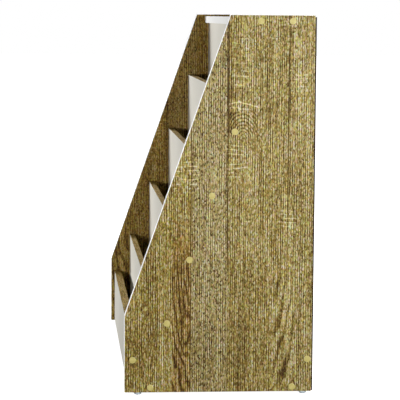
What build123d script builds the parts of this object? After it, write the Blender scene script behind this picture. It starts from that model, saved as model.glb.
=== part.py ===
from build123d import *
import math
import os

# A free-standing magazine rack of laminated chipboard, with five stepped pockets between two side panels.
# X runs across the width, Y from the front (-Y) to the back (+Y), and Z up. The origin is on the floor,
# under the middle of the rack. All sizes are in millimetres.

# Overall size
WIDTH = 900.0
DEPTH = 380.0
PANEL_HEIGHT = 755.0
GLIDE_HEIGHT = 5.0

# Stock: chipboard, hardboard and edge band
BOARD = 16.0
THIN_BOARD = 12.0
HARDBOARD = 3.0
BAND = 0.8

# Outline of a side panel, on the Y and Z axes
FRONT_Y = -DEPTH / 2
BACK_Y = DEPTH / 2
PANEL_BACK_Y = BACK_Y - HARDBOARD
BASE_Z = GLIDE_HEIGHT
TOP_Z = BASE_Z + PANEL_HEIGHT
SLOPE_FOOT_Z = BASE_Z + 154.5
SLOPE_TOP_Y = 18.4
INNER_X = WIDTH / 2 - BOARD

# Boards between the side panels
TOP_BOARD_FRONT_Y = 38.0
TOP_BOARD_Z = BASE_Z + 734.6
FRONT_PANEL_Y = -181.2
FRONT_PANEL_TOP_Z = BASE_Z + 123.8
BOTTOM_BOARD_Z = BASE_Z + 1.4
RAIL_HEIGHT = 124.0
STEPS = 4
DIVIDER_PITCH_Y = 47.2
DIVIDER_PITCH_Z = 131.0
DIVIDER_FRONT_Y = [-144.1 + DIVIDER_PITCH_Y * step for step in range(STEPS)]
DIVIDER_TOP_Z = [BASE_Z + 215.2 + DIVIDER_PITCH_Z * step for step in range(STEPS)]
UPPER_BACK_Y = 47.0
FLOOR_PITCH_Z = 128.0
FLOOR_Z = [BASE_Z + 131.5 + FLOOR_PITCH_Z * step for step in range(STEPS)]
BACK_BOARD_INSET_X = 1.5
BACK_BOARD_BASE_GAP = 1.0
BACK_BOARD_TOP_GAP = 4.0

# Confirmat screws through the side panels, and their cover caps
SCREW_LENGTH = 50.0
SCREW_R = 3.5
SCREW_CORE_R = 2.4
SCREW_HEAD_R = 5.0
SCREW_PITCH = 3.0
SOCKET_SIZE = 4.0
SOCKET_DEPTH = 2.6
THREAD_CLEARANCE = 0.05
THREAD_START, THREAD_CREST, THREAD_END = 0.3, 0.6, 0.9
TIP_TAPER = 2.0
CAP_R = 6.4
CAP_HEIGHT = 1.0
CAP_ROUND = 0.45
FLOOR_SCREW_PITCH_Y = 44.4
FLOOR_SCREW_Y = [-104.6 + FLOOR_SCREW_PITCH_Y * step for step in range(STEPS)]
TOP_SCREW_Y = [79.1, 142.3]
BOTTOM_SCREW_Y = [-137.5, 148.0]
PLINTH_SCREW_Z = BASE_Z + 65.6

# Dowels
DOWEL_R = 4.0
DOWEL_LENGTH = 30.0
DOWEL_IN_PANEL = 11.0
SMALL_DOWEL_R = 3.0
SMALL_DOWEL_LENGTH = 24.0
SMALL_DOWEL_IN_PANEL = 9.0
DOWEL_CHAMFER = 1.0
TOP_DOWEL_Y = [57.0, 166.0]
BOTTOM_DOWEL_Y = [-70.0, 80.0]
PLINTH_DOWEL_Z = [BASE_Z + 36.0, BASE_Z + 102.0]
FLOOR_DOWEL_OFFSET_Y = -13.0
SMALL_DOWEL_MARGIN = 32.0

# Chipboard screws that hold the dividers, at three places along the width
SMALL_SCREW_LENGTH = 35.0
SMALL_SCREW_R = 1.75
SMALL_SCREW_CORE_R = 1.15
SMALL_SCREW_HEAD_R = 3.4
SMALL_SCREW_PITCH = 1.8
SMALL_SOCKET_SIZE = 2.2
SMALL_SOCKET_DEPTH = 1.3
DIVIDER_SCREW_X = [-300.0, 0.0, 300.0]

# Nails round the back board
NAIL_R = 0.8
NAIL_LENGTH = 20.0
NAIL_HEAD_R = 2.0
NAIL_HEAD_HEIGHT = 0.8
NAIL_TIP = 2.0
NAIL_SIDE_Z = [BASE_Z + 50.0 + 92.0 * place for place in range(8)]
NAIL_ROW_X = [-360.0 + 144.0 * place for place in range(6)]

# Glides, nailed under the side panels
GLIDE_Y = [-162.5, 171.0]
GLIDE_TOP_R = 7.8
GLIDE_FOOT_R = 5.2
GLIDE_RIM = 1.2
GLIDE_RECESS_R = 2.8
GLIDE_RECESS_DEPTH = 1.8
GLIDE_NAIL_R = 1.1
GLIDE_NAIL_LENGTH = 18.0
GLIDE_NAIL_HEAD_R = 2.5
GLIDE_NAIL_HEAD_HEIGHT = 1.0

SIDES = {"left": -1, "right": 1}


def save(node, name):
    """Labels a finished piece and writes it to its own file."""
    node.part.label = name
    export_step(node.part, f"parts/{name}.step")


def panel_corners(inset):
    """Corners of a side panel, from the foot of the front edge round to the back, with the banded edges
    moved in by inset."""
    rise = SLOPE_FOOT_Z - TOP_Z
    run = FRONT_Y - SLOPE_TOP_Y
    length = math.hypot(run, rise)
    across, down = -rise / length, run / length
    slope_foot = (FRONT_Y + inset, SLOPE_FOOT_Z + inset * (1 - across) / down)
    slope_top = (SLOPE_TOP_Y + inset * (1 + down) / across, TOP_Z - inset)
    front_foot = (FRONT_Y + inset, BASE_Z)
    top_back = (PANEL_BACK_Y, TOP_Z - inset)
    return [front_foot, slope_foot, slope_top, top_back]


def outward(side, x, y, z):
    """A plane at a point on a side panel or a board's end, whose normal points to that side."""
    return Plane(origin=(side * x, y, z), z_dir=(side, 0, 0))


def side_screw_places():
    """The Y and Z of each confirmat screw, the same on both sides."""
    places = [(y, TOP_BOARD_Z + BOARD / 2) for y in TOP_SCREW_Y]
    places += [(y, z + BOARD / 2) for y, z in zip(FLOOR_SCREW_Y, FLOOR_Z)]
    places += [(y, BOTTOM_BOARD_Z + BOARD / 2) for y in BOTTOM_SCREW_Y]
    places.append((FRONT_PANEL_Y + BOARD / 2, PLINTH_SCREW_Z))
    places.append((PANEL_BACK_Y - BOARD / 2, PLINTH_SCREW_Z))
    return places


def dowel_places():
    """The Y and Z of each 8 mm dowel, in the ends of the 16 mm boards."""
    places = [(y, TOP_BOARD_Z + BOARD / 2) for y in TOP_DOWEL_Y]
    places += [(y + FLOOR_DOWEL_OFFSET_Y, z + BOARD / 2) for y, z in zip(FLOOR_SCREW_Y, FLOOR_Z)]
    places += [(y, BOTTOM_BOARD_Z + BOARD / 2) for y in BOTTOM_DOWEL_Y]
    places += [(FRONT_PANEL_Y + BOARD / 2, z) for z in PLINTH_DOWEL_Z]
    places += [(PANEL_BACK_Y - BOARD / 2, z) for z in PLINTH_DOWEL_Z]
    return places


def divider_spans():
    """Front face, lower edge and upper edge of each 12 mm board: the four dividers, then the upper back."""
    feet = [BOTTOM_BOARD_Z + BOARD] + FLOOR_Z
    fronts = DIVIDER_FRONT_Y + [UPPER_BACK_Y]
    tops = [top - BAND for top in DIVIDER_TOP_Z] + [TOP_BOARD_Z]
    return list(zip(fronts, feet, tops))


def small_dowel_places():
    """The Y and Z of each 6 mm dowel, near the top and the foot of the 12 mm boards."""
    places = []
    for front, foot, top in divider_spans():
        places.append((front + THIN_BOARD / 2, foot + SMALL_DOWEL_MARGIN))
        places.append((front + THIN_BOARD / 2, top - SMALL_DOWEL_MARGIN))
    return places


def inside(places, y_range, z_range):
    """The places that lie within a board's section."""
    return [
        (y, z) for y, z in places
        if y_range[0] < y < y_range[1] and z_range[0] < z < z_range[1]
    ]


def cross_board(y_range, z_range):
    """A board from one side panel to the other, drilled in its ends for its screws and dowels."""
    size_y = y_range[1] - y_range[0]
    size_z = z_range[1] - z_range[0]
    centre = ((y_range[0] + y_range[1]) / 2, (z_range[0] + z_range[1]) / 2)
    drillings = [
        (side_screw_places(), SCREW_R, SCREW_LENGTH - BOARD),
        (dowel_places(), DOWEL_R, DOWEL_LENGTH - DOWEL_IN_PANEL),
        (small_dowel_places(), SMALL_DOWEL_R, SMALL_DOWEL_LENGTH - SMALL_DOWEL_IN_PANEL),
    ]
    with BuildPart() as board:
        with BuildSketch(Plane.YZ.offset(-INNER_X)):
            with Locations(centre):
                Rectangle(size_y, size_z)
        extrude(amount=2 * INNER_X)
        for places, radius, depth in drillings:
            ends = [
                outward(side, INNER_X, y, z)
                for side in SIDES.values()
                for y, z in inside(places, y_range, z_range)
            ]
            if ends:
                with Locations(*ends):
                    Hole(radius, depth=depth)
    return board.part


def threaded_screw(length, radius, core_radius, head_radius, thread_start, pitch, socket, socket_depth):
    """A countersunk screw that points down from its head's top face at the origin. The thread is a row of
    rings, one to each pitch, whose start, crest and end are fractions of the pitch."""
    sink = head_radius - radius
    crest = radius - THREAD_CLEARANCE
    tip = TIP_TAPER * core_radius
    turns = int((length - thread_start - tip) / pitch)
    outline = [(0, 0), (head_radius, 0), (radius, -sink), (radius, -thread_start)]
    outline.append((core_radius, -thread_start))
    for turn in range(turns):
        start = thread_start + turn * pitch
        outline.append((core_radius, -start - THREAD_START * pitch))
        outline.append((crest, -start - THREAD_CREST * pitch))
        outline.append((core_radius, -start - THREAD_END * pitch))
    outline.append((core_radius, -length + tip))
    outline.append((0, -length))
    with BuildPart() as screw:
        with BuildSketch(Plane.XZ):
            with BuildLine():
                Polyline(*outline, close=True)
            make_face()
        revolve(axis=Axis.Z)
        with BuildSketch(Plane.XY):
            RegularPolygon(socket / 2, 6, major_radius=False)
        extrude(amount=-socket_depth, mode=Mode.SUBTRACT)
    return screw.part


def dowel(radius, length, depth_in_panel):
    """A dowel along Z, whose origin is where it crosses from the board into the panel."""
    with BuildPart() as peg:
        with BuildSketch(Plane.XY.offset(depth_in_panel - length)):
            Circle(radius)
        extrude(amount=length)
        chamfer(peg.edges().filter_by(GeomType.CIRCLE), DOWEL_CHAMFER)
    return peg.part


def nail(radius, length, head_radius, head_height):
    """A flat-head nail that points down from its head's top face at the origin."""
    outline = [
        (0, 0), (head_radius, 0), (head_radius, -head_height), (radius, -head_height),
        (radius, -length + NAIL_TIP), (0, -length),
    ]
    with BuildPart() as pin:
        with BuildSketch(Plane.XZ):
            with BuildLine():
                Polyline(*outline, close=True)
            make_face()
        revolve(axis=Axis.Z)
    return pin.part


def glide():
    """A plastic glide, domed towards its foot, with a recess for the head of its nail."""
    with BuildPart() as foot:
        with BuildSketch(Plane.XZ):
            with BuildLine():
                rim = Polyline(
                    (GLIDE_FOOT_R, 0), (0, 0), (0, GLIDE_HEIGHT), (GLIDE_TOP_R, GLIDE_HEIGHT),
                    (GLIDE_TOP_R, GLIDE_HEIGHT - GLIDE_RIM),
                )
                TangentArc(rim @ 1, rim @ 0, tangent=(0, -1))
            make_face()
        revolve(axis=Axis.Z)
        with Locations(Plane(origin=(0, 0, 0), z_dir=(0, 0, -1))):
            CounterBoreHole(GLIDE_NAIL_R, GLIDE_RECESS_R, GLIDE_RECESS_DEPTH, depth=GLIDE_HEIGHT)
    return foot.part


def screw_cap():
    """A round cover cap with a softened rim, standing on the origin."""
    with BuildPart() as cap:
        with BuildSketch(Plane.XY):
            Circle(CAP_R)
        extrude(amount=CAP_HEIGHT)
        fillet(cap.edges().group_by(Axis.Z)[-1], CAP_ROUND)
    return cap.part


def placed(piece, planes):
    """A group of the same piece, one at each plane, as separate solids."""
    with BuildPart() as group:
        with Locations(*planes):
            add(piece)
    return group


def glide_spot(side, y, z):
    """A plane under a side panel, looking down."""
    return Plane(origin=(side * (WIDTH - BOARD) / 2, y, z), z_dir=(0, 0, -1))


def back_nail_spots():
    """Planes on the rear of the back board, one for each nail."""
    side_x = (WIDTH - BOARD) / 2
    spots = [(side * side_x, z) for side in SIDES.values() for z in NAIL_SIDE_Z]
    spots += [(x, TOP_BOARD_Z + BOARD / 2) for x in NAIL_ROW_X]
    spots += [(x, BASE_Z + RAIL_HEIGHT / 2) for x in NAIL_ROW_X]
    return [Plane(origin=(x, BACK_Y, z), z_dir=(0, 1, 0)) for x, z in spots]


def side_panel(side, name):
    """One side panel, drilled for its screws, dowels, glide nails and back nails."""
    near_x = min(side * INNER_X, side * WIDTH / 2)
    outline = panel_corners(BAND) + [(PANEL_BACK_Y, BASE_Z)]
    drillings = [
        ([outward(-side, -INNER_X, y, z) for y, z in dowel_places()], DOWEL_R, DOWEL_IN_PANEL),
        ([outward(-side, -INNER_X, y, z) for y, z in small_dowel_places()],
         SMALL_DOWEL_R, SMALL_DOWEL_IN_PANEL),
        ([glide_spot(side, y, BASE_Z) for y in GLIDE_Y],
         GLIDE_NAIL_R, GLIDE_NAIL_LENGTH - GLIDE_HEIGHT + GLIDE_RECESS_DEPTH),
        (back_nail_spots(), NAIL_R, NAIL_LENGTH),
    ]
    with BuildPart() as panel:
        with BuildSketch(Plane.YZ.offset(near_x)):
            with BuildLine():
                Polyline(*outline, close=True)
            make_face()
        extrude(amount=BOARD)
        with Locations(*[outward(side, WIDTH / 2, y, z) for y, z in side_screw_places()]):
            CounterSinkHole(SCREW_R, SCREW_HEAD_R, depth=BOARD, counter_sink_angle=90)
        for planes, radius, depth in drillings:
            with Locations(*planes):
                Hole(radius, depth=depth)
    save(panel, name)


def panel_bands(side, side_name):
    """The three strips of white edge band of one side panel, mitred where they meet."""
    near_x = min(side * INNER_X, side * WIDTH / 2)
    outer = panel_corners(0)
    inner = panel_corners(BAND)
    for index, edge in enumerate(["front", "slope", "top"]):
        strip = [outer[index], outer[index + 1], inner[index + 1], inner[index]]
        with BuildPart() as band:
            with BuildSketch(Plane.YZ.offset(near_x)):
                with BuildLine():
                    Polyline(*strip, close=True)
                make_face()
            extrude(amount=BOARD)
        save(band, f"edge_band_{edge}_{side_name}")


def cross_band(y_range, z_range, name):
    """A strip of edge band along the whole length of a cross board."""
    with BuildPart() as band:
        with BuildSketch(Plane.YZ.offset(-INNER_X)):
            with Locations(((y_range[0] + y_range[1]) / 2, (z_range[0] + z_range[1]) / 2)):
                Rectangle(y_range[1] - y_range[0], z_range[1] - z_range[0])
        extrude(amount=2 * INNER_X)
    save(band, name)


def drilled_board(y_range, z_range, name, holes=()):
    """A cross board with further holes: each entry has its planes, a radius and a depth."""
    with BuildPart() as board:
        add(cross_board(y_range, z_range))
        for planes, radius, depth in holes:
            with Locations(*planes):
                Hole(radius, depth=depth)
    save(board, name)


def top_board():
    """The top board and the white band on its front edge."""
    front = TOP_BOARD_FRONT_Y + BAND
    z_range = (TOP_BOARD_Z, TOP_BOARD_Z + BOARD)
    drilled_board((front, PANEL_BACK_Y), z_range, "top_board", [(back_nail_spots(), NAIL_R, NAIL_LENGTH)])
    cross_band((TOP_BOARD_FRONT_Y, front), z_range, "top_board_band")


def front_panel():
    """The front panel of the lowest pocket and the wood-effect band on its top edge."""
    y_range = (FRONT_PANEL_Y, FRONT_PANEL_Y + BOARD)
    top = FRONT_PANEL_TOP_Z - BAND
    drilled_board(y_range, (BASE_Z, top), "front_panel")
    cross_band(y_range, (top, FRONT_PANEL_TOP_Z), "front_panel_band")


def floor_screw_planes(step):
    """Planes on the rear face of the board behind a pocket floor, at the floor's mid height."""
    rear = divider_spans()[step + 1][0] + THIN_BOARD
    return [
        Plane(origin=(x, rear, FLOOR_Z[step] + BOARD / 2), z_dir=(0, 1, 0)) for x in DIVIDER_SCREW_X
    ]


def foot_screw_planes():
    """Planes under the bottom board, below the lowest divider."""
    y = DIVIDER_FRONT_Y[0] + THIN_BOARD / 2
    return [Plane(origin=(x, y, BOTTOM_BOARD_Z), z_dir=(0, 0, -1)) for x in DIVIDER_SCREW_X]


def thin_boards():
    """The four dividers with their top bands, and the upper back panel."""
    names = ["divider_1", "divider_2", "divider_3", "divider_4", "upper_back_panel"]
    for index, (front, foot, top) in enumerate(divider_spans()):
        y_range = (front, front + THIN_BOARD)
        with BuildPart() as board:
            add(cross_board(y_range, (foot, top)))
            if index == 0:
                with Locations(*foot_screw_planes()):
                    Hole(SMALL_SCREW_R, depth=SMALL_SCREW_LENGTH)
            else:
                with Locations(*floor_screw_planes(index - 1)):
                    CounterSinkHole(
                        SMALL_SCREW_R, SMALL_SCREW_HEAD_R, depth=THIN_BOARD, counter_sink_angle=90
                    )
        save(board, names[index])
        if top < TOP_BOARD_Z:
            cross_band(y_range, (top, top + BAND), f"divider_band_{index + 1}")


def pocket_floors():
    """The four floors, each from the rear of one divider to the front of the next board."""
    spans = divider_spans()
    for step, z in enumerate(FLOOR_Z):
        y_range = (spans[step][0] + THIN_BOARD, spans[step + 1][0])
        holes = [(floor_screw_planes(step), SMALL_SCREW_R, SMALL_SCREW_LENGTH)]
        drilled_board(y_range, (z, z + BOARD), f"pocket_floor_{step + 1}", holes)


def bottom_board():
    """The bottom board, from the front panel to the rear rail."""
    y_range = (FRONT_PANEL_Y + BOARD, PANEL_BACK_Y - BOARD)
    with BuildPart() as board:
        add(cross_board(y_range, (BOTTOM_BOARD_Z, BOTTOM_BOARD_Z + BOARD)))
        with Locations(*foot_screw_planes()):
            CounterSinkHole(SMALL_SCREW_R, SMALL_SCREW_HEAD_R, depth=BOARD, counter_sink_angle=90)
    save(board, "bottom_board")


def rear_rail():
    """The rail at the foot of the back."""
    y_range = (PANEL_BACK_Y - BOARD, PANEL_BACK_Y)
    holes = [(back_nail_spots(), NAIL_R, NAIL_LENGTH)]
    drilled_board(y_range, (BASE_Z, BASE_Z + RAIL_HEIGHT), "rear_rail", holes)


def back_board():
    """The hardboard back, with a sunk hole for the head of each nail."""
    foot = BASE_Z + BACK_BOARD_BASE_GAP
    top = TOP_Z - BACK_BOARD_TOP_GAP
    with BuildPart() as board:
        with BuildSketch(Plane.XZ.offset(-BACK_Y)):
            with Locations((0, (foot + top) / 2)):
                Rectangle(WIDTH - 2 * BACK_BOARD_INSET_X, top - foot)
        extrude(amount=HARDBOARD)
        with Locations(*back_nail_spots()):
            CounterBoreHole(NAIL_R, NAIL_HEAD_R, NAIL_HEAD_HEIGHT, depth=HARDBOARD)
    save(board, "back_board")


def fasteners():
    """Every screw, cap, dowel, nail and glide."""
    confirmat = threaded_screw(
        SCREW_LENGTH, SCREW_R, SCREW_CORE_R, SCREW_HEAD_R, BOARD, SCREW_PITCH, SOCKET_SIZE, SOCKET_DEPTH
    )
    small_screw = threaded_screw(
        SMALL_SCREW_LENGTH, SMALL_SCREW_R, SMALL_SCREW_CORE_R, SMALL_SCREW_HEAD_R, THIN_BOARD,
        SMALL_SCREW_PITCH, SMALL_SOCKET_SIZE, SMALL_SOCKET_DEPTH,
    )
    big_dowel = dowel(DOWEL_R, DOWEL_LENGTH, DOWEL_IN_PANEL)
    small_dowel = dowel(SMALL_DOWEL_R, SMALL_DOWEL_LENGTH, SMALL_DOWEL_IN_PANEL)
    cap = screw_cap()
    for name, side in SIDES.items():
        outer = [outward(side, WIDTH / 2, y, z) for y, z in side_screw_places()]
        save(placed(confirmat, outer), f"side_screws_{name}")
        save(placed(cap, outer), f"screw_caps_{name}")
        ends = [outward(side, INNER_X, y, z) for y, z in dowel_places()]
        save(placed(big_dowel, ends), f"dowels_{name}")
        small_ends = [outward(side, INNER_X, y, z) for y, z in small_dowel_places()]
        save(placed(small_dowel, small_ends), f"small_dowels_{name}")
    divider_planes = [plane for step in range(STEPS) for plane in floor_screw_planes(step)]
    save(placed(small_screw, divider_planes), "divider_screws")
    save(placed(small_screw, foot_screw_planes()), "foot_screws")
    back_nail = nail(NAIL_R, NAIL_LENGTH, NAIL_HEAD_R, NAIL_HEAD_HEIGHT)
    save(placed(back_nail, back_nail_spots()), "back_nails")


def glides():
    """The four glides, each in its own file, and their nails."""
    foot = glide()
    nail_planes = []
    for side_name, side in SIDES.items():
        for end_name, y in zip(["front", "rear"], GLIDE_Y):
            with BuildPart() as placed_foot:
                with Locations(Location((side * (WIDTH - BOARD) / 2, y, 0))):
                    add(foot)
            save(placed_foot, f"glide_{end_name}_{side_name}")
            nail_planes.append(glide_spot(side, y, GLIDE_RECESS_DEPTH - GLIDE_NAIL_HEAD_HEIGHT))
    glide_nail = nail(GLIDE_NAIL_R, GLIDE_NAIL_LENGTH, GLIDE_NAIL_HEAD_R, GLIDE_NAIL_HEAD_HEIGHT)
    save(placed(glide_nail, nail_planes), "glide_nails")


os.makedirs("parts", exist_ok=True)
for panel_name, panel_side in SIDES.items():
    side_panel(panel_side, f"side_panel_{panel_name}")
    panel_bands(panel_side, panel_name)
top_board()
front_panel()
thin_boards()
pocket_floors()
bottom_board()
rear_rail()
back_board()
fasteners()
glides()
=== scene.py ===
import math
import bpy
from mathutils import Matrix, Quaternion, Vector


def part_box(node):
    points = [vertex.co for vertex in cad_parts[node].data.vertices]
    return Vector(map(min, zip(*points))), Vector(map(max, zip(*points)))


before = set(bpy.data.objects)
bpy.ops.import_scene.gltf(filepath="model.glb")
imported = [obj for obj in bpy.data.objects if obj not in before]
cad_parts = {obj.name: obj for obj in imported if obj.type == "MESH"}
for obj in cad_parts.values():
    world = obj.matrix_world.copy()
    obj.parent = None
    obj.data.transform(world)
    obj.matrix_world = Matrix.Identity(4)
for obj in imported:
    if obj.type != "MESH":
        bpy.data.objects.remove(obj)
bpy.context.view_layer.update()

MM = 1000.0  # millimetres in a metre: the oak pattern is laid out in mm
FOOT_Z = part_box("side_panel_right")[0].z * MM
TURN = 2 * math.pi


# ---------------------------------------------------------------- node trees

class Graph:
    """The node tree of one material, with short calls for the nodes that the finishes are made of."""

    def __init__(self, name):
        self.material = bpy.data.materials.new(name)
        self.material.use_nodes = True
        self.tree = self.material.node_tree
        self.shader = self.tree.nodes["Principled BSDF"]
        place = self.add("TexCoord")
        self.point = place.outputs["Object"]
        self.normal = place.outputs["Normal"]

    def add(self, kind, inputs=None, **settings):
        """A new node, with its settings and its inputs: numbers, or the outputs of other nodes."""
        node = self.tree.nodes.new("ShaderNode" + kind)
        for name, value in settings.items():
            setattr(node, name, value)
        for key, value in (inputs or {}).items():
            self.feed(node.inputs[key], value)
        return node

    def feed(self, socket, value):
        """Links another node's output to a socket, or sets the socket to a number or colour."""
        if isinstance(value, bpy.types.NodeSocket):
            self.tree.links.new(value, socket)
        else:
            socket.default_value = value

    def math(self, operation, first, second=0.0, third=0.0):
        inputs = {0: first, 1: second, 2: third}
        return self.add("Math", inputs, operation=operation).outputs[0]

    def plus(self, first, second):
        return self.math("ADD", first, second)

    def minus(self, first, second):
        return self.math("SUBTRACT", first, second)

    def times(self, first, second):
        return self.math("MULTIPLY", first, second)

    def size(self, value):
        """The value without its sign."""
        return self.math("ABSOLUTE", value)

    def plus_times(self, start, *terms):
        """start, plus value * factor for each (value, factor)."""
        for value, factor in terms:
            start = self.math("MULTIPLY_ADD", value, factor, start)
        return start

    def smooth(self, value, low, high, start=0.0, end=1.0):
        """A smooth step from start, at low, to end, at high."""
        inputs = {"Value": value, "From Min": low, "From Max": high, "To Min": start, "To Max": end}
        return self.add("MapRange", inputs, interpolation_type="SMOOTHSTEP").outputs[0]

    def split(self, vector):
        return self.add("SeparateXYZ", {0: vector}).outputs

    def join(self, x, y, z):
        return self.add("CombineXYZ", {0: x, 1: y, 2: z}).outputs[0]

    def scaled(self, vector, scale, offset=(0.0, 0.0, 0.0)):
        """vector * scale + offset"""
        inputs = {0: vector, 1: scale, 2: offset}
        return self.add("VectorMath", inputs, operation="MULTIPLY_ADD").outputs[0]

    def length(self, vector):
        return self.add("VectorMath", {0: vector}, operation="LENGTH").outputs["Value"]

    def noise(self, vector, scale, detail=0.0, roughness=0.5, distortion=0.0):
        """Noise about zero, with as many cells to a unit of the vector as scale says on each axis."""
        inputs = {
            "Vector": self.scaled(vector, scale), "Scale": 1.0, "Detail": detail,
            "Roughness": roughness, "Distortion": distortion,
        }
        return self.minus(self.add("TexNoise", inputs).outputs[0], 0.5)

    def even_noise(self, cells, **shape):
        """Noise about zero over the piece, with the same number of cells to a metre on every axis."""
        return self.noise(self.point, (cells,) * 3, **shape)

    def cells(self, vector, scale, offset=(0.0, 0.0, 0.0)):
        """A random colour for each cell, with as many cells to a unit of the vector as scale says."""
        inputs = {"Vector": self.scaled(vector, scale, offset), "Scale": 1.0}
        return self.add("TexVoronoi", inputs).outputs["Color"]

    def ramp(self, value, stops):
        """The colour at a value, between stops that are each (value, colour)."""
        node = self.add("ValToRGB", {0: value})
        elements = node.color_ramp.elements
        while len(elements) < len(stops):
            elements.new(1.0)
        for element, (place, colour) in zip(elements, stops):
            element.position = place
            element.color = (*colour, 1.0)
        return node.outputs[0]

    def mix(self, factor, first, second, blend="MIX"):
        node = self.add("Mix", {0: factor}, data_type="RGBA", blend_type=blend)
        for socket, value in ((node.inputs[6], first), (node.inputs[7], second)):
            self.feed(socket, (*value, 1.0) if isinstance(value, tuple) else value)
        return node.outputs[2]

    def bump(self, height, distance, strength):
        """A normal for a height, where a height of one is a distance in metres."""
        inputs = {"Height": height, "Distance": distance, "Strength": strength}
        return self.add("Bump", inputs).outputs[0]

    def finish(self, colour, roughness, normal=None, **fixed):
        """Joins the surface's colour, roughness and bump to the shader, and sets its fixed values."""
        self.feed(self.shader.inputs["Base Color"], colour)
        self.feed(self.shader.inputs["Roughness"], roughness)
        if normal is not None:
            self.feed(self.shader.inputs["Normal"], normal)
        for name, value in fixed.items():
            self.shader.inputs[name.replace("_", " ")].default_value = value
        return self.material


X, Y = 0, 1  # places in a split vector
# The part of a normal along an axis where a face starts to count as square to it, and counts fully
SQUARE = (0.5, 0.6)


def square_to(g, axis):
    """One on the faces square to an axis, zero on the others."""
    return g.smooth(g.size(g.split(g.normal)[axis]), *SQUARE)


CHIPS = 700.0  # cells to a metre
CHIP_COLOURS = [(0.0, (0.20, 0.12, 0.06)), (0.4, (0.42, 0.29, 0.16)), (1.0, (0.62, 0.48, 0.31))]


def chipboard(g):
    """The colour of a cut edge: small chips, light and dark."""
    chips = g.split(g.cells(g.point, (CHIPS,) * 3))[0]
    return g.ramp(chips, CHIP_COLOURS)


# ---------------------------------------------------------------- sawn oak: the pattern's values
# Across is from front to rear on the right panel and from rear to front on the left one, starting
# from the middle, and along is up from the foot, both in mm. Strengths are in the units of
# OAK_COLOURS' values. Speckle is how broken up a plank's grain is.

# Linear colours from the darkest grain to the lightest
OAK_COLOURS = [
    (0.00, (0.024, 0.010, 0.001)),
    (0.14, (0.060, 0.030, 0.004)),
    (0.28, (0.102, 0.060, 0.010)),
    (0.40, (0.153, 0.102, 0.020)),
    (0.50, (0.216, 0.155, 0.036)),
    (0.60, (0.290, 0.224, 0.066)),
    (0.72, (0.364, 0.305, 0.130)),
    (0.85, (0.452, 0.397, 0.205)),
    (1.00, (0.565, 0.515, 0.310)),
]
MEAN_TONE = 0.5
# Seams between planks: place across, step in lightness, step in speckle
SEAMS = [(-57.0, 0.020, 1.0), (15.0, -0.012, -0.75), (112.0, 0.01, 0.0), (137.0, 0.035, 0.1)]
TONE_STEP, SPECKLE_STEP = 1, 2  # places in a seam
SEAM_HALF_WIDTH = 0.4  # of the soft step at a seam
PLANK_SHIFT = 90.0  # how far across the grain is moved for a speckle of one, so that planks differ
# Dark lines and other patches: across low and high, along low and high, change in lightness
PATCHES = [
    (-58.6, -56.2, -40.0, 560.0, -0.20), (13.4, 16.6, 230.0, 800.0, -0.30),
    (135.2, 138.6, 540.0, 800.0, -0.40), (135.4, 138.0, 330.0, 540.0, -0.20),
    (111.2, 112.8, -40.0, 800.0, -0.10), (14.0, 24.0, 480.0, 740.0, -0.09),
    (-92.0, -58.0, -60.0, 270.0, -0.12), (15.0, 60.0, 586.0, 612.0, -0.12),
    (14.0, 36.0, 520.0, 568.0, -0.12), (114.0, 132.0, 30.0, 110.0, -0.12),
    (-190.0, -120.0, -40.0, 130.0, -0.04), (-160.0, -152.0, 40.0, 180.0, -0.07),
    (60.0, 66.0, 100.0, 330.0, -0.05), (-55.0, 14.0, -60.0, 300.0, 0.02),
    (138.0, 145.0, 180.0, 390.0, 0.12), (44.0, 110.0, 580.0, 790.0, 0.04),
    (172.0, 180.0, 200.0, 640.0, 0.06), (126.0, 131.0, 120.0, 420.0, 0.08),
    (-118.0, -112.0, -40.0, 200.0, 0.06), (88.0, 106.0, 540.0, 760.0, -0.06),
    (30.0, 58.0, -40.0, 250.0, -0.05), (160.0, 166.0, -40.0, 500.0, -0.05),
]
PATCH_EDGE = (1.15, 0.75)  # where a patch starts and is full, as parts of the way from middle to side
# Light hatching left by the saw, in patches: across low and high, along low and high
SAW_MARKS = [
    (20.0, 56.0, 596.0, 722.0), (-94.0, -57.0, 400.0, 482.0), (137.0, 174.0, 596.0, 654.0),
    (116.0, 154.0, 312.0, 386.0), (14.0, 74.0, 338.0, 350.0), (12.0, 56.0, 428.0, 502.0),
    (108.0, 150.0, 700.0, 752.0), (-62.0, -40.0, 410.0, 470.0),
]
SAW_ROWS = 8.5  # spacing
SAW_STRENGTH = 0.28
SAW_CREST = (0.45, 0.95)  # the height on the wave where a row starts and is full
SAW_DRIFT_CELLS, SAW_DRIFT = (0.015, 0.02, 0.01), 12.0  # how far noise shifts the rows, in radians
SAW_BREAK_CELLS, SAW_BREAK = (0.05, 0.11, 0.03), (-0.04, 0.06)  # the noise where a row starts, is full
# Curved growth lines: centre, squeeze across and along, spacing once squeezed, patch that shows them,
# strength
FIGURES = [
    ((-48.0, 290.0), (0.42, 0.078), 3.0, (-98.0, -57.0, -60.0, 265.0), 0.36),
    ((100.0, 285.0), (0.42, 0.085), 4.6, (108.0, 152.0, 10.0, 235.0), 0.32),
    ((45.0, 503.0), (1.25, 0.74), 5.0, (15.0, 74.0, 506.0, 564.0), 0.30),
    ((-142.0, 105.0), (0.90, 0.20), 5.0, (-164.0, -122.0, 30.0, 180.0), 0.20),
]
FIGURE_LINE = (-0.2, 0.9, 0.35, -0.65)  # where on the wave a line starts and is full, light and dark
# Light lines across the grain, above the knot: where they start and end, across and along, strength
HAIRLINES = [
    (14.0, 580.0, 42.0, 583.0, 0.42), (38.0, 584.0, 78.0, 571.0, 0.46),
    (15.0, 573.0, 64.0, 566.0, 0.32), (22.0, 562.0, 54.0, 564.0, 0.14),
]
HAIRLINE_EDGE = (2.2, 0.6)  # where a hairline starts and is full, in mm from its middle
HAIRLINE_TAPER = 0.7  # where its ends start to fade, as a part of its half length
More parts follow.
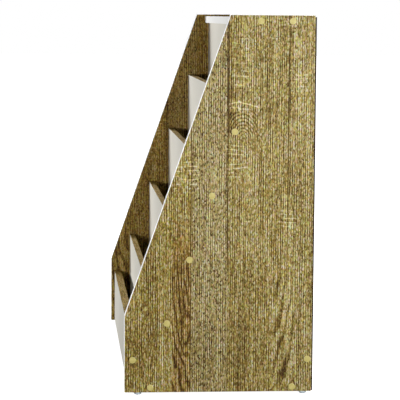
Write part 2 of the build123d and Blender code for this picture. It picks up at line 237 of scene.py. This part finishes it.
# Soft bending of the pattern: cells to a mm across, along and in depth, and how far it bends, in mm
# (for growth lines, in squeezed mm)
SWAY_CELLS, SWAY = (0.012, 0.005, 0.01), 8.0
WARP_CELLS, WARP = (0.04, 0.012, 0.01), 9.0
WOBBLE_CELLS = (0.06, 0.03, 0.01)
PATCH_WOBBLE = 14.0
HAIRLINE_WOBBLE = 12.0
# Grain: cells to a mm across, along and in depth, detail, strength. The broad layers are as strong
# in every plank, and the fine lines are weaker where the speckle is strong.
BROAD_GRAIN = [
    ((0.012, 0.0035, 0.01), 1.0, 0.17),
    ((0.065, 0.0035, 0.01), 1.0, 0.20),
    ((0.17, 0.008, 0.02), 1.0, 0.22),
]
FINE_LINES = [
    ((0.50, 0.012, 0.03), 0.0, 0.50),
    ((0.58, 0.080, 0.04), 0.0, 0.52),
]
LINE_LOSS = -0.55  # the change in the fine lines' strength for a speckle of one
# Pores, each a cell of random lightness and tint: cells to a mm, strength, the darkest ones' extra
# darkness for a speckle of one, the values where that starts and is full, and the spread of the
# tint's red, green and blue
PORE_CELLS = (0.60, 0.26, 0.05)
PORE_STRENGTH = 0.44
PORE_PITS = 0.20
PIT_EDGE = (0.20, 0.06)
PORE_TINT = (0.38, 0.26, 1.40)
TINT_SHIFT = (7.3, 3.1, 0.0)  # in cells, so that tint doesn't follow lightness
PORE_MEAN = 0.5
# Fine straight lines along the grain: spacing, strength, how far noise shifts them, in radians, and
# the noise where they are faint and full, with how strong they are there
PINSTRIPE = 4.4
PINSTRIPE_STRENGTH = 0.23
WANDER_CELLS, WANDER = (0.05, 0.006, 0.01), 7.0
FADE_CELLS, FADE = (0.07, 0.015, 0.02), (-0.14, 0.12, 0.25, 1.0)
# Surface: the saturation of fully grey wood, roughness and how lightness changes it, and the bump's
# distance and strength
GREY_SATURATION = 0.90
OAK_ROUGHNESS, OAK_POLISH = 0.60, -0.10
OAK_BUMP = (0.00010, 0.5)
# Browner wood in the flame-like figure (across low and high, along low and high), and painted shade on
# the inner faces: a darker, browner tint
BROWN_PATCH = (-96.0, -56.0, -60.0, 330.0)
BROWN_AMOUNT = 0.9
BROWN_TINT = (0.90, 0.77, 0.66)
# Painted shade on the inner faces: how much of it, and the tint that darkens them
INNER_SHADE_AMOUNT = 0.95
INNER_SHADE_TINT = (1.04, 0.84, 0.48)
LEFT_SHIFT = -38.0  # moves the left panel's pattern across, so that it isn't the right's mirror image
# Boards between the sides: their warmer tint, their speckle and their grey
BOARD_TINT = (1.06, 0.95, 0.90)
BOARD_SPECKLE = 0.2
BOARD_GREY = 0.1


# ---------------------------------------------------------------- sawn oak: its making

def window(g, across, along, place):
    """A soft-edged patch: one inside (across low, across high, along low, along high), else zero."""
    low, high, foot, top = place
    far = [
        g.times(g.size(g.minus(across, (low + high) / 2)), 2 / (high - low)),
        g.times(g.size(g.minus(along, (foot + top) / 2)), 2 / (top - foot)),
    ]
    return g.smooth(g.math("MAXIMUM", *far), *PATCH_EDGE)


def hairline(g, across, along, wobble, start, foot, end, top):
    """A thin wavering line from (start, foot) to (end, top): one on it, zero away from it."""
    slope = (top - foot) / (end - start)
    height = g.plus_times(foot - start * slope, (across, slope), (wobble, HAIRLINE_WOBBLE))
    near = g.smooth(g.size(g.minus(along, height)), *HAIRLINE_EDGE)
    half = (end - start) / 2
    reach = g.smooth(g.size(g.minus(across, start + half)), half, half * HAIRLINE_TAPER)
    return g.times(near, reach)


def steps(g, across, start, column):
    """A value that starts as given and changes at every seam."""
    value = start
    for seam in SEAMS:
        step = g.smooth(across, seam[0] - SEAM_HALF_WIDTH, seam[0] + SEAM_HALF_WIDTH)
        value = g.plus_times(value, (step, seam[column]))
    return value


def pinstripes(g, across, grain):
    """Fine lines along the grain that wander a little and fade in and out."""
    wander = g.noise(grain, WANDER_CELLS, detail=1.0)
    wave = g.math("SINE", g.plus_times(g.times(across, TURN / PINSTRIPE), (wander, WANDER)))
    fade = g.noise(grain, FADE_CELLS, detail=1.0)
    return g.times(wave, g.smooth(fade, *FADE))


def saw_rows(g, along, place):
    """Thin light lines across the grain, broken into short lengths."""
    drift = g.noise(place, SAW_DRIFT_CELLS, detail=1.0)
    wave = g.math("SINE", g.plus_times(g.times(along, TURN / SAW_ROWS), (drift, SAW_DRIFT)))
    breaks = g.noise(place, SAW_BREAK_CELLS, detail=1.0)
    return g.times(g.smooth(wave, *SAW_CREST), g.smooth(breaks, *SAW_BREAK))


def growth_lines(g, place, warp, centre, squeeze, spacing):
    """Rings round a centre, squeezed into long curves: light between them and dark on them."""
    offset = (-centre[0] * squeeze[0], -centre[1] * squeeze[1], 0.0)
    radius = g.length(g.scaled(place, (*squeeze, 0.0), offset))
    wave = g.math("SINE", g.times(g.plus_times(radius, (warp, WARP)), TURN / spacing))
    return g.smooth(wave, *FIGURE_LINE)


def oak_grain(g, tone, grain, speckle):
    """Adds the grain's lines and pores to a lightness, and gives the pores' tint."""
    for scale, detail, strength in BROAD_GRAIN:
        tone = g.plus_times(tone, (g.noise(grain, scale, detail), strength))
    weight = g.plus_times(1.0, (speckle, LINE_LOSS))
    for scale, detail, strength in FINE_LINES:
        tone = g.plus_times(tone, (g.noise(grain, scale, detail), g.times(weight, strength)))
    value = g.split(g.cells(grain, PORE_CELLS))[0]
    tone = g.plus_times(tone, (g.minus(value, PORE_MEAN), PORE_STRENGTH))
    tone = g.minus(tone, g.times(g.smooth(value, *PIT_EDGE), g.times(speckle, PORE_PITS)))
    lowest = [1.0 - spread / 2 for spread in PORE_TINT]
    return tone, g.scaled(g.cells(grain, PORE_CELLS, TINT_SHIFT), PORE_TINT, lowest)


def oak_figure(g, across, along, depth):
    """The oak pattern at a place in mm: its lightness, the speckle of its planks and its tint."""
    place = g.join(across, along, depth)
    speckle = steps(g, across, 0.0, SPECKLE_STEP)
    sway = g.noise(place, SWAY_CELLS)
    grain = g.join(g.plus_times(across, (speckle, PLANK_SHIFT), (sway, SWAY)), along, depth)
    tone, tint = oak_grain(g, steps(g, across, MEAN_TONE, TONE_STEP), grain, speckle)
    tone = g.plus_times(tone, (pinstripes(g, across, grain), PINSTRIPE_STRENGTH))
    wobble = g.noise(grain, WOBBLE_CELLS, detail=1.0)
    ragged = g.plus_times(along, (wobble, PATCH_WOBBLE))
    for *patch, change in PATCHES:
        tone = g.plus_times(tone, (window(g, across, ragged, patch), change))
    warp = g.noise(grain, WARP_CELLS, detail=1.0)
    for centre, squeeze, spacing, patch, strength in FIGURES:
        lines = growth_lines(g, place, warp, centre, squeeze, spacing)
        tone = g.plus_times(tone, (g.times(lines, window(g, across, along, patch)), strength))
    for *ends, strength in HAIRLINES:
        tone = g.plus_times(tone, (hairline(g, across, along, wobble, *ends), strength))
    rows = saw_rows(g, along, place)
    for patch in SAW_MARKS:
        tone = g.plus_times(tone, (g.times(rows, window(g, across, along, patch)), SAW_STRENGTH))
    return tone, speckle, tint


def oak_surface(g, tone, grey, tint):
    """Colour, roughness and bump of the printed oak from its lightness, its greyness and its tint."""
    colour = g.mix(1.0, g.ramp(tone, OAK_COLOURS), tint, "MULTIPLY")
    grey_oak = g.add("HueSaturation", {"Saturation": GREY_SATURATION, "Color": colour}).outputs[0]
    colour = g.mix(grey, colour, grey_oak)
    return colour, g.plus_times(OAK_ROUGHNESS, (tone, OAK_POLISH)), g.bump(tone, *OAK_BUMP)


def side_oak(name, mirror, shift):
    """Oak on a side panel's two faces, with painted shade (a darker, browner tint) on the inner face,
    browner wood in one figure, and chipboard on its edges.
    """
    g = Graph(name)
    x, y, z = g.split(g.point)[:3]
    across = g.plus_times(shift, (y, mirror * MM))
    along = g.plus_times(-FOOT_Z, (z, MM))
    tone, speckle, tint = oak_figure(g, across, along, g.times(x, MM))
    colour, roughness, normal = oak_surface(g, tone, speckle, tint)
    inward = g.times(g.split(g.normal)[X], -mirror)
    # painted shade: the inner face is given a darker, browner tint
    colour = g.mix(g.smooth(inward, *SQUARE, 0.0, INNER_SHADE_AMOUNT), colour, INNER_SHADE_TINT, "MULTIPLY")
    brown = g.times(window(g, across, along, BROWN_PATCH), BROWN_AMOUNT)
    colour = g.mix(brown, colour, BROWN_TINT, "MULTIPLY")
    colour = g.mix(square_to(g, X), chipboard(g), colour)
    return g.finish(colour, roughness, normal, Specular_IOR_Level=0.15)


def board_oak(name, lift=0.0):
    """Oak whose grain runs along the width, for the boards between the sides and their bands."""
    g = Graph(name)
    x, y, z = g.split(g.point)[:3]
    grain = g.join(g.times(g.plus(y, z), MM), g.times(x, MM), 0.0)
    tone, tint = oak_grain(g, MEAN_TONE + lift, grain, BOARD_SPECKLE)
    colour, roughness, normal = oak_surface(g, tone, BOARD_GREY, tint)
    colour = g.mix(1.0, colour, BOARD_TINT, "MULTIPLY")
    colour = g.mix(square_to(g, X), colour, chipboard(g))
    return g.finish(colour, roughness, normal, Specular_IOR_Level=0.02)


# ---------------------------------------------------------------- other finishes
# Noise cells are to a metre. A ramp's value is about 0.5, moved by noises that are about zero.

MELAMINE_COLOURS = [(0.0, (0.61, 0.585, 0.52)), (0.5, (0.68, 0.66, 0.595)), (1.0, (0.74, 0.725, 0.66))]
HARDBOARD_COLOURS = [(0.0, (0.10, 0.055, 0.025)), (0.5, (0.22, 0.135, 0.07)), (1.0, (0.36, 0.24, 0.14))]
HARDBOARD_EDGE = [(0.012, 0.007, 0.004), (0.03, 0.018, 0.010)]
HARDBOARD_SCREEN = 3600.0  # the screen pattern, in radians to a metre
CAP_COLOURS = [(0.0, (0.37, 0.31, 0.08)), (0.5, (0.46, 0.39, 0.125)), (1.0, (0.56, 0.50, 0.21))]
# Painted highlight: the lighter colour round the caps' rims
CAP_RIM_HIGHLIGHT = (0.74, 0.68, 0.34)
CAP_HIGHLIGHT_EDGE = (0.99, 0.6)  # the lean of the normal where the rim's painted highlight starts and is full
GLIDE_COLOURS = [(0.0, (0.55, 0.64, 0.70)), (1.0, (0.74, 0.82, 0.86))]
ZINC_COLOURS = [(0.0, (0.48, 0.49, 0.47)), (1.0, (0.72, 0.72, 0.68))]
BEECH_COLOURS = [(0.2, (0.40, 0.25, 0.12)), (0.8, (0.66, 0.47, 0.28))]


def white_board(name):
    """White melamine on the two faces of a board, with chipboard on its cut edges."""
    g = Graph(name)
    cloud = g.even_noise(9.0, detail=2.0)
    specks = g.even_noise(420.0, detail=1.0)
    peel = g.even_noise(650.0, detail=2.0)
    colour = g.ramp(g.plus_times(0.5, (cloud, 0.6), (specks, 0.5)), MELAMINE_COLOURS)
    colour = g.mix(square_to(g, Y), chipboard(g), colour)
    roughness = g.plus_times(0.34, (cloud, 0.10))
    normal = g.bump(peel, distance=0.00006, strength=0.5)
    return g.finish(colour, roughness, normal, Specular_IOR_Level=0.12)


def white_band(name, level):
    """Smooth white edge band of a given lightness, with faint scraper ripples."""
    g = Graph(name)
    ripples = g.noise(g.point, (260.0, 900.0, 90.0), detail=1.0)
    stops = [(0.0, (level - 0.06,) * 3), (1.0, (level, level, level - 0.03))]
    roughness = g.plus_times(0.36, (ripples, 0.1))
    normal = g.bump(ripples, distance=0.00004, strength=0.5)
    return g.finish(g.ramp(g.plus(0.5, ripples), stops), roughness, normal, Specular_IOR_Level=0.15)


def hardboard(name):
    """Brown hardboard: a fibrous face with a fine screen pattern, and dark edges."""
    g = Graph(name)
    fibres = g.even_noise(420.0, detail=3.0, roughness=0.7)
    cloud = g.even_noise(14.0, detail=2.0)
    colour = g.ramp(g.plus_times(0.5, (fibres, 0.9), (cloud, 0.5)), HARDBOARD_COLOURS)
    colour = g.mix(square_to(g, Y), g.mix(g.plus(0.5, fibres), *HARDBOARD_EDGE), colour)
    x, y, z = g.split(g.point)[:3]
    screen = g.times(*[g.math("SINE", g.times(side, HARDBOARD_SCREEN)) for side in (x, z)])
    roughness = g.plus_times(0.78, (fibres, 0.2))
    normal = g.bump(g.plus_times(fibres, (screen, 0.25)), distance=0.00015, strength=0.7)
    return g.finish(colour, roughness, normal, Specular_IOR_Level=0.12)


def cap_plastic(name):
    """Pale yellow cover caps, with a painted highlight that makes them lighter round the rim, and fine
    moulding marks.
    """
    g = Graph(name)
    marks = g.even_noise(900.0, detail=2.0)
    patch = g.even_noise(160.0)
    colour = g.ramp(g.plus_times(0.5, (marks, 0.5), (patch, 0.7)), CAP_COLOURS)
    # painted highlight: lighter where the cap's face curves away at the rim
    rim = g.smooth(g.size(g.split(g.normal)[X]), *CAP_HIGHLIGHT_EDGE)
    roughness = g.plus_times(0.42, (marks, 0.15))
    normal = g.bump(marks, distance=0.00005, strength=0.6)
    return g.finish(g.mix(rim, colour, CAP_RIM_HIGHLIGHT), roughness, normal)


def glide_plastic(name):
    """Smooth, slightly translucent grey-blue plastic."""
    g = Graph(name)
    swirl = g.even_noise(180.0, detail=2.0, distortion=1.0)
    colour = g.ramp(g.plus(0.5, swirl), GLIDE_COLOURS)
    roughness = g.plus_times(0.3, (swirl, 0.1))
    normal = g.bump(swirl, distance=0.00005, strength=0.5)
    return g.finish(colour, roughness, normal, Transmission_Weight=0.2)


def zinc(name):
    """Bright zinc plate with faint turning marks and dull patches."""
    g = Graph(name)
    patch = g.even_noise(300.0, detail=2.0)
    marks = g.even_noise(2600.0)
    colour = g.ramp(g.plus(0.5, patch), ZINC_COLOURS)
    roughness = g.plus_times(0.36, (patch, 0.3))
    normal = g.bump(marks, distance=0.00003, strength=0.5)
    return g.finish(colour, roughness, normal, Metallic=1.0)


def beech(name):
    """Beech with short flecks, for the dowels."""
    g = Graph(name)
    flecks = g.noise(g.point, (160.0, 1100.0, 1100.0), detail=2.0)
    colour = g.ramp(g.plus(0.5, flecks), BEECH_COLOURS)
    return g.finish(colour, roughness=0.6, normal=g.bump(flecks, distance=0.0001, strength=0.6))


# ---------------------------------------------------------------- dressing the pieces

def dress(material, *names):
    """Gives CAD nodes a finish, in every material slot that they have."""
    for name in names:
        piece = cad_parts[name]
        if not piece.data.materials:
            piece.data.materials.append(material)
        for index in range(len(piece.data.materials)):
            piece.data.materials[index] = material


def each(stem, ends):
    """The names of the nodes with one stem and each of the ends."""
    return [f"{stem}_{end}" for end in ends]


STEPS = ("1", "2", "3", "4")
SIDES = ("left", "right")

dress(side_oak("oak_right", 1, 0.0), "side_panel_right")
dress(side_oak("oak_left", -1, LEFT_SHIFT), "side_panel_left")
dress(board_oak("oak_boards"), "top_board", "bottom_board", "rear_rail", *each("pocket_floor", STEPS))
dress(board_oak("oak_bands", lift=0.02), "front_panel_band", *each("divider_band", STEPS))
dress(white_board("white_melamine"), "front_panel", "upper_back_panel", *each("divider", STEPS))
dress(white_band("white_front", level=0.93), "top_board_band")
dress(white_band("white_edge", level=0.99),
      *each("edge_band_front", SIDES), *each("edge_band_slope", SIDES), *each("edge_band_top", SIDES))
dress(hardboard("hardboard_back"), "back_board")
dress(cap_plastic("cap_yellow"), *each("screw_caps", SIDES))
dress(glide_plastic("glide_grey"), *each("glide_front", SIDES), *each("glide_rear", SIDES))
dress(zinc("zinc_plate"), "divider_screws", "foot_screws", "back_nails", "glide_nails",
      *each("side_screws", SIDES))
dress(beech("beech_dowel"), *each("dowels", SIDES), *each("small_dowels", SIDES))


# ---------------------------------------------------------------- camera, floor and light

# Places and targets are in metres, the lens in mm
CAMERA_PLACE = (4.10425, -0.32465, 0.76094)
CAMERA_TARGET = (0.0, -0.00495, 0.34728)
CAMERA_ROLL = math.radians(0.388)
CAMERA_LENS = 166.73
SUN_PLACE = (-2.2, 0.1, 2.2)
ORIGIN = (0.0, 0.0, 0.0)
MIDDLE = (0.0, 0.0, 0.40)
FLOOR_SIZE = 60.0
FLOOR_DROP = 0.0005  # keeps the floor's face clear of the glides'
FLOOR_COLOUR = (0.9, 0.9, 0.9, 1.0)
WHITE = (1.0, 1.0, 1.0, 1.0)


def link(name, data, place):
    """A new object in the scene, at its place."""
    thing = bpy.data.objects.new(name, data)
    bpy.context.scene.collection.objects.link(thing)
    thing.location = place
    return thing


def aim(thing, target, roll=0.0):
    """Turns a camera or light at its place towards a target."""
    look = (Vector(target) - thing.location).to_track_quat("-Z", "Y")
    thing.rotation_mode = "QUATERNION"
    thing.rotation_quaternion = look @ Quaternion((0.0, 0.0, 1.0), roll)


def add_camera():
    data = bpy.data.cameras.new("camera")
    data.sensor_width = 36.0
    data.lens = CAMERA_LENS
    data.clip_end = 100.0
    camera = link("camera", data, CAMERA_PLACE)
    aim(camera, CAMERA_TARGET, CAMERA_ROLL)
    bpy.context.scene.camera = camera


def area_light(name, place, target, size, power):
    """A flat light that the camera doesn't see, of a width and height in metres."""
    data = bpy.data.lights.new(name, "AREA")
    data.shape = "RECTANGLE"
    data.size, data.size_y = size
    data.energy = power
    light = link(name, data, place)
    light.visible_camera = False
    aim(light, target)
    return light


def overhead_light(power, spread):
    """Even light from above and to the left, as from a source some degrees across."""
    data = bpy.data.lights.new("overhead", "SUN")
    data.energy = power
    data.angle = math.radians(spread)
    aim(link("overhead", data, SUN_PLACE), ORIGIN)


def add_floor():
    """A plain white floor that shines evenly, and neither lights the rack nor shows in it."""
    bpy.ops.mesh.primitive_plane_add(size=FLOOR_SIZE, location=(0.0, 0.0, -FLOOR_DROP))
    floor = bpy.context.object
    floor.name = "floor"
    g = Graph("floor_white")
    floor.data.materials.append(
        g.finish(FLOOR_COLOUR, roughness=0.9, Emission_Color=WHITE, Emission_Strength=1.0))
    floor.visible_diffuse = False
    floor.visible_glossy = False
    floor.visible_transmission = False


def add_world(ambient):
    """A white surround for the camera's eye, and a dim one for the light."""
    world = bpy.data.worlds.new("studio")
    bpy.context.scene.world = world
    world.use_nodes = True
    tree = world.node_tree
    background = tree.nodes["Background"]
    background.inputs["Color"].default_value = WHITE
    path = tree.nodes.new("ShaderNodeLightPath")
    level = tree.nodes.new("ShaderNodeMapRange")
    level.inputs["To Min"].default_value = ambient
    level.inputs["To Max"].default_value = 1.0
    tree.links.new(path.outputs["Is Camera Ray"], level.inputs["Value"])
    tree.links.new(level.outputs[0], background.inputs["Strength"])


bpy.context.scene.view_settings.view_transform = "Standard"
add_camera()
add_floor()
add_world(ambient=0.005)
area_light("side_key", place=(1.8, 1.0, 0.72), target=(0.45, 0.0, 0.36), size=(0.9, 0.4), power=29.5)
front_left = area_light(
    "front_left", place=(-2.3, -1.65, 0.42), target=MIDDLE, size=(1.6, 0.3), power=122.0)
front_left.visible_glossy = False  # seen almost along the boards, its glare would hide their white
area_light("front_right", place=(2.2, -1.3, 0.58), target=(0.0, 0.0, 0.50), size=(1.2, 0.25), power=33.0)
area_light("rear_fill", place=(0.0, 2.9, 0.9), target=MIDDLE, size=(2.4, 1.4), power=70.0)
overhead_light(power=1.7, spread=4.0)
